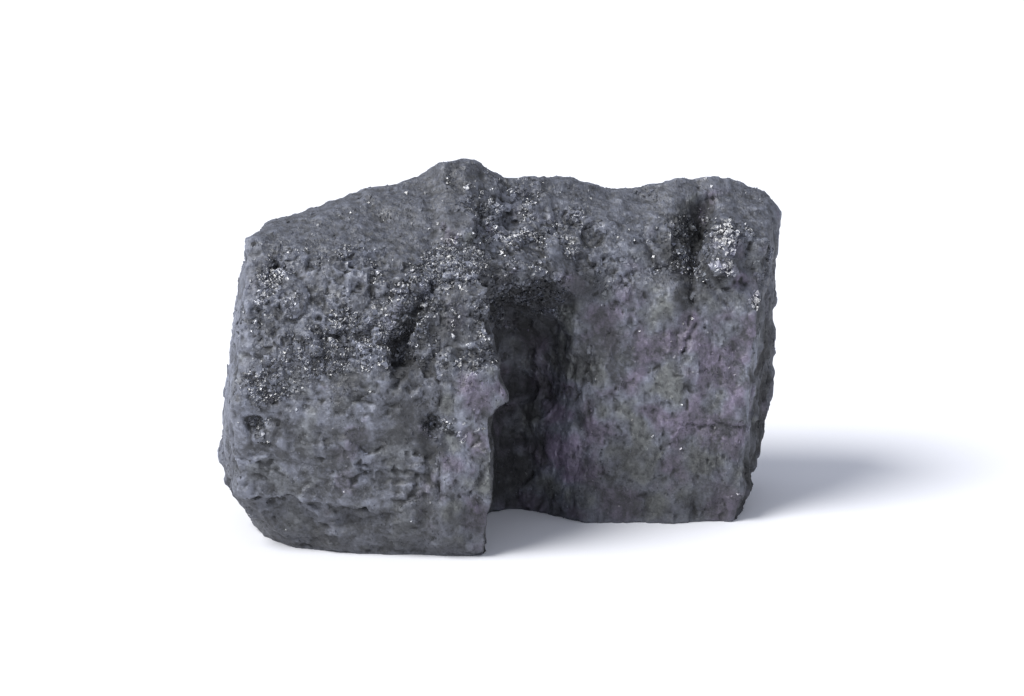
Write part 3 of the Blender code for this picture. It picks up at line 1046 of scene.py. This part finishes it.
    def build(self, material: bpy.types.Material) -> bpy.types.Object:
        """Builds the skin: a grid moved along its normals by the relief, kept above the ground, and thinned.

        The base takes no relief but a few shallow hollows, so that the lump stands level.

        Args:
            material: Its finish.

        Returns:
            The piece.
        """
        mesh = self.remeshed()
        even = Surface(mesh)
        broad = even.broad_normals(6)
        height = Zones.at(even.places, broad).breaks(even.places).height - self.marks(even.places, broad)
        height += sum(spot.share(even.places) for spot in self.swells)
        base = eased(-even.normals[:, 2], 0.5, 0.8) * (1.0 - eased(even.places[:, 2], 0.3, 1.5))
        height = height * (1.0 - base) - 0.25 * base * np.abs(height)
        moved = even.places + even.normals * height[:, None]
        moved[:, 2] = np.maximum(moved[:, 2], 0.0)
        mesh.vertices.foreach_set("co", (moved * MM).astype(np.float32).ravel())
        mesh.update()
        log.info("grid of %d triangles", len(even.triangles))

        skin = with_modifier(mesh, "DECIMATE", ratio=min(1.0, self.faces / len(even.triangles)))
        skin.name = self.name
        skin.shade_smooth()
        skin.set_sharp_from_angle(angle=math.radians(self.crease))
        piece = new_piece(self.name, skin, [material])
        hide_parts(NODE)
        return piece

    def dress(self, surface: Surface) -> Looks:
        """Works out what the finish reads at each vertex.

        Painted shade darkens the hollows, the foot, the right end and the shade spots, but not where it is
        cleared.
        Ridges are rubbed pale. A strip at the left end, which faces the key light, is made paler with painted
        light.

        Args:
            surface: The finished skin.

        Returns:
            The looks, by attribute.
        """
        places, broad = surface.places, surface.broad_normals(10)
        zones = Zones.at(places, broad)
        near, far = surface.standing(4), surface.standing(16)
        x, z = places[:, 0], places[:, 2]
        drift = 3.0 * noise(places, 7.0, 283)
        # painted shade: darker towards the bottom, up to about 19 mm high on the right half and 9.5 mm on the
        # left
        right_foot = 1.0 - eased(z + drift, 3.0, 19.0)
        left_foot = 0.9 * (1.0 - eased(z + 0.5 * drift, 7.0, 9.5))
        foot = np.where(x > 6.0, right_foot, left_foot)
        # painted shade on the right end, which faces away from the key light: less high up and further back
        end = eased(broad[:, 0] + 0.15 * noise(places, 4.0, 285), 0.58, 0.8)
        end *= 1.0 - 0.6 * eased(z + drift, 26.0, 40.0)
        ahead = 0.5 + 0.5 * (1.0 - eased(places[:, 1], 2.0, 12.0))
        end *= ahead * np.clip(0.9 + 0.6 * noise(places, 3.0, 289), 0.0, 1.0)
        # painted shade in the hollows, joined by the foot's and the right end's
        painted_shade_and_soot = np.clip(0.8 * eased(-near, 0.02, 0.16) + 0.7 * eased(-far, 0.1, 0.6), 0.0, 1.0)
        painted_shade_and_soot = np.maximum(painted_shade_and_soot, np.maximum(0.5 * foot, end))
        blotch = np.clip(0.9 + 0.8 * layered(places, 3.0, 3, 287), 0.0, 1.0)
        torn = ragged(places)
        # painted shade in the shade spots, in blotches, taken off again in the cleared spots
        for spot in self.shade_spots:
            painted_shade_and_soot = np.maximum(painted_shade_and_soot, spot.share(torn) * blotch)
        for spot in self.shade_cleared:
            painted_shade_and_soot *= 1.0 - spot.share(torn)
        # painted light: the strip at the left end, which faces the key light, is made paler
        strip = eased(-x, 36.5, 39.0) * eased(-broad[:, 1], -0.2, 0.3) * eased(z, 8.0, 24.0)
        rubbed = 0.12 * eased(near, 0.02, 0.14) + 0.1 * eased(far, 0.06, 0.4)
        # paler spots: dusty chips and rubbed places, and painted light on places in shade
        dusty = sum(spot.share(torn) for spot in self.pale)
        facets = scattered(places, 1.3, 281)
        shine = sum(spot.share(torn) for spot in self.glossy)
        shine += eased(facets.label, 0.76, 0.88) * (0.25 + 0.7 * zones.grains)
        hue = layered(places, 6.5, 3, 297) - 0.3 * sum(spot.share(torn) for spot in self.hues)
        front = np.maximum(zones.rubbed, 0.5 * zones.snapped * eased(np.abs(hue), 0.2, 0.3))
        purple, olive = eased(hue, -0.05, 0.25) * front, eased(-hue, 0.0, 0.3) * front
        return {
            "tone": zones.breaks(places).tone + rubbed + 0.2 * strip + dusty - 0.06 * purple,
            "painted_shade_and_soot": painted_shade_and_soot,
            "gloss": np.clip(shine, 0.0, 1.0),
            "grit": np.clip(zones.grains + 0.25 * zones.band, 0.0, 1.0),
            "fibre": 1.0 - 0.7 * zones.snapped,
            "purple": purple,
            "olive": olive,
        }


# -------------------------------------------------------------------------------------- loose char


def joined(*faces: tuple[Array, Array, Array]) -> Array:
    """Stacks groups of triangles, each group given as its first, second and third corner numbers.

    Args:
        *faces: The groups.

    Returns:
        One row of three corner numbers per triangle.
    """
    return np.concatenate([np.column_stack(face) for face in faces])


def grain_shape() -> tuple[Array, Array]:
    """A box.

    Returns:
        Its corners and triangles.
    """
    corners = np.array([(x, y, z) for x in (-0.5, 0.5) for y in (-0.5, 0.5) for z in (-0.5, 0.5)])
    ends = ((0, 1, 3, 2), (4, 6, 7, 5))
    sides = ((0, 4, 5, 1), (2, 3, 7, 6), (0, 2, 6, 4), (1, 5, 7, 3))
    quads = np.array(ends + sides)
    return corners, np.concatenate([quads[:, [0, 1, 2]], quads[:, [0, 2, 3]]])


def lump_shape() -> tuple[Array, Array]:
    """An icosahedron: five corners above its middle, the same five turned and mirrored below, and two tips.

    Returns:
        Its corners and triangles.
    """
    turn = np.arange(5)
    after = (turn + 1) % 5
    angle = FULL_TURN * turn / 5.0
    upper = np.column_stack([np.cos(angle), np.sin(angle), np.full(5, 0.5)]) / math.sqrt(1.25)
    lower = -upper
    corners = 0.5 * np.concatenate([upper, lower, [(0.0, 0.0, 1.0), (0.0, 0.0, -1.0)]])
    below = (turn + 3) % 5 + 5  # the lower corner under the gap after each upper one
    before = (turn + 2) % 5 + 5
    top, bottom = np.full(5, 10), np.full(5, 11)
    caps = (turn, after, top), (before, bottom, below)
    return corners, joined(caps[0], (turn, below, after), (before, below, turn), caps[1])


def sliver_shape() -> tuple[Array, Array]:
    """A square prism with a pointed end at the top and at the bottom.

    Returns:
        Its corners and triangles.
    """
    ring = np.array([(-0.5, -0.5), (0.5, -0.5), (0.5, 0.5), (-0.5, 0.5)])
    low, high = (np.column_stack([ring, np.full(4, z)]) for z in (-0.32, 0.3))
    corners = np.concatenate([low, high, [(0.0, 0.0, -0.5), (0.0, 0.0, 0.5)]])
    turn = np.arange(4)
    after = (turn + 1) % 4
    foot, head = np.full(4, 8), np.full(4, 9)
    walls = (turn, after, after + 4), (turn, after + 4, turn + 4)
    return corners, joined(walls[0], (after, turn, foot), walls[1], (turn + 4, after + 4, head))


class Shape(Enum):
    """Plain shapes of a loose bit, about 1 across."""

    GRAIN = "grain"
    LUMP = "lump"
    SLIVER = "sliver"

    def template(self) -> tuple[Array, Array]:
        """The shape, with its triangles facing outwards.

        The second half of the triangles pairs up with the first, one by one, into squares.

        Returns:
            Corners, one row of three each, and triangles, one row of three corner numbers each.
        """
        makers = {Shape.GRAIN: grain_shape, Shape.LUMP: lump_shape, Shape.SLIVER: sliver_shape}
        return makers[self]()


@dataclass(frozen=True)
class Loose:
    """Loose bits of char of one kind, partly sunk in the skin."""

    name: str
    shape: Shape
    count: int
    seed: int
    smallest: float
    largest: float
    proportions: Triple = (1.0, 0.8, 0.6)
    jitter: float = 0.26  # how far each corner moves, as a share of the size
    sink: float = 0.2  # how far the middle lies under the skin, as a share of the thickness
    lie_flat: float = 0.0  # 0 for any turn, 1 for the thin way along the normal
    glassy: float = 0.0  # share of the bits with a fresh, glassy break
    dusty: float = 0.15  # share of the bits that are black with dust
    facing: Triple | None = None  # which way the bits face, where not along the skin's normal

    def frames(self, rng: np.random.Generator, normals: Array) -> Array:
        """Turns for the bits: the third axis leans to the normal, and the other two are random about it.

        The third axis is a random way plus the normal, which weighs more the flatter the bit lies. For a
        sliver it is the length, and lies along Z in the plane of the skin instead.

        Args:
            rng: Random numbers.
            normals: The skin's broad normals, one row each.

        Returns:
            Three unit axes per bit, as rows.
        """
        random = rng.normal(size=normals.shape)
        random /= np.linalg.norm(random, axis=1, keepdims=True)
        if self.shape is Shape.SLIVER:
            along = np.array([0.0, 0.0, 1.0]) - normals * normals[:, 2:]
            axis = along / np.maximum(np.linalg.norm(along, axis=1, keepdims=True), 1e-6) + 0.1 * random
            guide = normals
        else:
            faced = normals if self.facing is None else np.array(self.facing)
            axis = faced * (0.02 + 3.0 * self.lie_flat) + random * (1.0 - 0.75 * self.lie_flat)
            guide = rng.normal(size=normals.shape)
        axis /= np.linalg.norm(axis, axis=1, keepdims=True)
        side = np.cross(guide, axis)
        side /= np.linalg.norm(side, axis=1, keepdims=True)
        return np.stack([side, np.cross(axis, side), axis], axis=1)

    def chart(self, squares: int) -> Array:
        """The bake's map: each bit has a cell of a grid, and each two of its triangles share a square in it.

        Args:
            squares: Squares per bit, laid out in two rows.

        Returns:
            One row of two per face corner.
        """
        across, columns = math.ceil(math.sqrt(self.count)), math.ceil(squares / 2)
        bit, square = np.arange(self.count), np.arange(squares)
        cell = np.stack([bit % across, bit // across], axis=1) / across
        width = np.array((1.0 / columns, 0.5)) / across
        spot = np.stack([square % columns, square // columns], axis=1) * width
        near, far = 0.06, 0.94  # a margin keeps neighbours' colours apart
        lower = ((near, near), (far, near), (far, far))
        upper = ((near, near), (far, far), (near, far))
        halves = np.array((lower, upper)) * width
        return (cell[:, None, None, None] + spot[None, None, :, None] + halves[None, :, None]).reshape(-1, 2)

    def build(
        self, skin: Surface, looks: Looks, weight: Array, material: bpy.types.Material
    ) -> bpy.types.Object:
        """Scatters the bits over the skin.

        A triangle is drawn with its area times its weight as the odds, and a point in it by two random
        numbers that are folded back where their sum passes 1. Small bits are drawn more often than large
        ones. Each bit is the plain shape with its corners moved at random, stretched to its size, turned by
        its frame and set at its point. It takes its looks from the skin there.

        Args:
            skin: The skin.
            looks: What the finish reads on the skin.
            weight: One weight per vertex.
            material: The finish.

        Returns:
            The piece.
        """
        rng = np.random.default_rng(self.seed)
        corners = skin.places[skin.triangles]
        across = np.cross(corners[:, 1] - corners[:, 0], corners[:, 2] - corners[:, 0])
        odds = np.linalg.norm(across, axis=1) * np.maximum(weight[skin.triangles].mean(axis=1), 0.0)
        chosen = rng.choice(len(odds), self.count, p=odds / odds.sum())
        first, second = rng.random(self.count), rng.random(self.count)
        folded = first + second > 1.0
        first, second = np.where(folded, 1.0 - first, first), np.where(folded, 1.0 - second, second)
        owner, under = corners[chosen], skin.triangles[chosen, 0]
        sides = owner[:, 1:] - owner[:, :1]
        middle = owner[:, 0] + first[:, None] * sides[:, 0] + second[:, None] * sides[:, 1]
        normals = skin.broad_normals(8)[under]

        plain, triangles = self.shape.template()
        size = self.smallest * (self.largest / self.smallest) ** (rng.random(self.count) ** 1.7)
        stretch = size[:, None] * np.array(self.proportions) * rng.uniform(0.8, 1.25, (self.count, 3))
        bits = plain + self.jitter * rng.uniform(-1.0, 1.0, (self.count, *plain.shape)) * (plain != 0.0)
        bits = np.einsum("nij,njk->nik", bits * stretch[:, None, :], self.frames(rng, normals))
        bits += (middle - normals * (self.sink * stretch.min(axis=1))[:, None])[:, None, :]
        bits[..., 2] = np.maximum(bits[..., 2], 0.0)
        offsets = np.arange(self.count)[:, None, None] * len(plain)
        faces = (triangles[None] + offsets).reshape(-1, 3)
        mesh = new_mesh(self.name, bits.reshape(-1, 3), faces, self.chart(len(triangles) // 2))
        mesh.shade_flat()

        lottery = rng.random(self.count)
        glassy, dusty = lottery < self.glassy, lottery > 1.0 - self.dusty
        own = {name: values[under] for name, values in looks.items()}
        own["tone"] = own["tone"] + rng.uniform(-0.2, 0.2, self.count)
        own["gloss"] = np.where(glassy, rng.uniform(0.5, 1.0, self.count), 0.0)
        # painted shade: each bit takes the skin's painted shade and soot, and some bits are black with dust
        own["painted_shade_and_soot"] = np.where(glassy, 0.0, np.maximum(0.8 * own["painted_shade_and_soot"], 0.8 * dusty))
        own["grit"] = np.full(self.count, 0.1)
        for name, values in own.items():
            paint(mesh, name, np.repeat(values, len(plain)))
        return new_piece(self.name, mesh, [material])


@dataclass
class Crust:
    """All the loose char: crumbs on the break, the roof and the sides, lumps, chips, plates and slivers."""

    skin: Skin
    surface: Surface
    looks: Looks
    path: tuple[tuple[float, float], ...] = (  # the line of bright crumbs, in x and z
        (-36.5, 27.0),
        (-30.5, 31.0),
        (-22.0, 33.5),
        (-16.0, 36.0),
        (-10.8, 42.8),
        (-4.0, 45.5),
    )
    sparks: tuple[Spot, ...] = (  # clusters of bright crumbs
        Spot((-15.6, -22.5, 35.4), 2.4),
        Spot((-20.2, -23.0, 35.4), 3.6),
        Spot((-9.0, -17.0, 43.4), 4.6),
        Spot((-17.5, -24.0, 33.0), 2.6),
    )
    kinds: tuple[Loose, ...] = (
        Loose("break_crumbs", Shape.GRAIN, 15_000, 401, 0.2, 0.6, sink=0.3, glassy=0.4, dusty=0.25),
        Loose(
            "break_lumps", Shape.LUMP, 2_400, 406, 0.6, 1.7, proportions=(1.0, 0.85, 0.7),
            jitter=0.16, sink=0.35, lie_flat=0.3, glassy=0.1,
        ),
        Loose("roof_crumbs", Shape.GRAIN, 3_000, 402, 0.18, 0.36, sink=0.45, dusty=0.1),
        Loose("side_crumbs", Shape.GRAIN, 6_000, 403, 0.2, 0.42, sink=0.4, dusty=0.1),
        Loose(
            "glassy_chips", Shape.GRAIN, 2_600, 404, 0.3, 0.95, proportions=(1.0, 0.75, 0.35),
            jitter=0.3, sink=0.35, lie_flat=0.7, glassy=0.6, dusty=0.0,
        ),
        Loose(
            "glinting_chips", Shape.GRAIN, 7_500, 408, 0.18, 0.55, proportions=(1.0, 0.75, 0.4),
            jitter=0.2, sink=0.25, lie_flat=0.8, glassy=1.0, dusty=0.0, facing=GLINT,
        ),
        Loose(
            "shining_plates", Shape.GRAIN, 300, 407, 0.35, 1.4, proportions=(1.0, 0.7, 0.35),
            jitter=0.26, sink=0.3, lie_flat=0.8, glassy=1.0, dusty=0.0, facing=GLINT,
        ),
        Loose(
            "fibre_slivers", Shape.SLIVER, 2_000, 405, 0.9, 2.2, proportions=(0.1, 0.08, 1.0),
            jitter=0.2, sink=0.6, dusty=0.0,
        ),
    )

    def crest(self, points: Array) -> Array:
        """Share of the bright crumbs: a line that climbs the left half's front to the knob, and clusters.

        Args:
            points: Places.

        Returns:
            One share per point.
        """
        bent = points[:, [0, 2]] + 0.8 * noise(points, 4.0, 301)[:, None]
        near, _ = path_offset(bent, np.array(self.path))
        torn = ragged(points)
        return np.max([1.0 - eased(near, 0.8, 4.0)] + [spot.share(torn) for spot in self.sparks], axis=0)

    def weights(self) -> dict[str, Array]:
        """Works out how thickly each kind lies.

        Returns:
            One weight per vertex of the skin, by the kind's name.
        """
        places, broad = self.surface.places, self.surface.broad_normals(10)
        zones = Zones.at(places, broad)
        clumps = eased(layered(places, 3.0, 2, 313), -0.1, 0.35)
        above = eased(places[:, 2], 0.6, 2.0)
        roof = eased(broad[:, 2], 0.25, 0.6)
        crest = self.crest(places) * eased(-broad[:, 1], 0.0, 0.4)
        torn = ragged(places)
        shine = sum(spot.share(torn) for spot in self.skin.glossy)
        out_of_shade_and_soot = above * (1.0 - 0.95 * self.looks["painted_shade_and_soot"]) ** 2
        lit = above * (1.0 - 0.9 * self.looks["painted_shade_and_soot"]) * eased(-broad[:, 1], 0.1, 0.4)
        crumbs = zones.grains**1.5 * (0.05 + clumps) * (1.0 - 0.6 * roof) + crest * (0.2 + clumps)
        lumps = (zones.band * (0.03 + clumps) + 0.8 * crest * clumps) * (1.0 - 0.7 * roof)
        return {
            "break_crumbs": crumbs,
            "break_lumps": lumps,
            "roof_crumbs": roof * (0.05 + clumps**2),
            "side_crumbs": above * (1.0 - roof) * (0.04 + clumps**2) * (1.0 - 0.8 * zones.grains),
            "glassy_chips": (0.004 + 2.0 * crest + 0.9 * zones.grains * clumps) * out_of_shade_and_soot,
            "glinting_chips": (0.001 + crest * clumps + 0.7 * zones.grains**2 * clumps**2) * lit,
            "shining_plates": np.clip(shine - 0.2, 0.0, 1.0) ** 2 * (0.1 + clumps) * lit,
            "fibre_slivers": (zones.splintered + 0.5 * zones.rubbed) ** 2 * above * (0.1 + clumps),
        }

    def build(self, material: bpy.types.Material) -> list[bpy.types.Object]:
        """Builds the pieces.

        Args:
            material: The finish of loose char.

        Returns:
            The pieces.
        """
        weights = self.weights()
        return [kind.build(self.surface, self.looks, weights[kind.name], material) for kind in self.kinds]


# ------------------------------------------------------------------------------------------- stage


@dataclass
class Stage:
    """The pale floor, the soft light and the camera. Angles are in degrees."""

    target: Triple = (1.6, -0.5, 27.3)
    distance: float = 455.1
    elevation: float = 14.0
    lens: float = 100.0
    sensor: float = 36.0
    nearest: float = 10.0  # what is nearer to the camera isn't drawn
    floor_reach: float = 3000.0
    key_azimuth: float = 62.0  # to the left of the camera
    key_elevation: float = 48.0
    key_strength: float = 3.5
    key_angle: float = 34.0
    sky_strength: float = 0.6

    def floor(self) -> None:
        """Lays the floor."""
        corners = ((-1.0, -1.0, 0.0), (1.0, -1.0, 0.0), (1.0, 1.0, 0.0), (-1.0, 1.0, 0.0))
        points = self.floor_reach * np.array(corners)
        mesh = new_mesh("studio_floor", points, np.array([[0, 1, 2, 3]]))
        floor = bpy.data.objects.new("studio_floor", mesh)
        bpy.context.scene.collection.objects.link(floor)
        mesh.materials.append(self.card())

    def card(self) -> bpy.types.Material:
        """Matt white card, with a faint cloud in its white.

        Returns:
            The material.
        """
        made = Recipe("matt_white_card")
        here, width = made.add("TexCoord", out="Object"), 60.0
        cloud = made.add("TexNoise", {"Vector": here, "Scale": 1.0 / (width * MM)})
        white = made.add("Mix", {0: cloud, 6: linear("#f1f1f4"), 7: linear("#f3f3f5")}, 2, data_type="RGBA")
        return made.finish(Base_Color=white, Roughness=0.9)

    def light(self) -> None:
        """Sets a wide key light at the upper left and an even white room."""
        lamp = bpy.data.lights.new("key", "SUN")
        lamp.energy = self.key_strength
        lamp.angle = math.radians(self.key_angle)
        key = bpy.data.objects.new("key", lamp)
        bpy.context.scene.collection.objects.link(key)
        azimuth, elevation = math.radians(self.key_azimuth), math.radians(self.key_elevation)
        level = math.cos(elevation)
        towards = Vector((-math.sin(azimuth) * level, -math.cos(azimuth) * level, math.sin(elevation)))
        key.rotation_mode = "QUATERNION"
        key.rotation_quaternion = towards.to_track_quat("Z", "Y")
        world = bpy.data.worlds.new("white_room")
        world.use_nodes = True
        background = world.node_tree.nodes["Background"]
        background.inputs["Color"].default_value = linear("#e9efff")
        background.inputs["Strength"].default_value = self.sky_strength
        bpy.context.scene.world = world
        bpy.context.scene.view_settings.view_transform = "Standard"

    def camera(self) -> None:
        """Sets the camera."""
        lens = bpy.data.cameras.new("camera")
        lens.lens = self.lens
        lens.sensor_width = self.sensor
        lens.clip_start = self.nearest * MM
        camera = bpy.data.objects.new("camera", lens)
        bpy.context.scene.collection.objects.link(camera)
        up = math.radians(self.elevation)
        back = Vector((0.0, -math.cos(up), math.sin(up)))
        camera.location = (Vector(self.target) + back * self.distance) * MM
        camera.rotation_mode = "QUATERNION"
        camera.rotation_quaternion = back.to_track_quat("Z", "Y")
        bpy.context.scene.camera = camera

    def build(self) -> None:
        """Builds all three."""
        self.floor()
        self.light()
        self.camera()


def main() -> None:
    """Builds the lump's pieces in order, and the stage."""
    logging.basicConfig(level=logging.INFO, format="%(name)s: %(message)s")
    char = Char().build()
    skin = Skin()
    body = skin.build(char)
    surface = Surface(body.data)
    looks = skin.dress(surface)
    for name, values in looks.items():
        paint(body.data, name, values)
    log.info("%s: %d faces", body.name, len(body.data.polygons))
    for piece in Crust(skin, surface, looks).build(char):
        log.info("%s: %d faces", piece.name, len(piece.data.polygons))
    Stage().build()


if __name__ == "__main__":
    main()
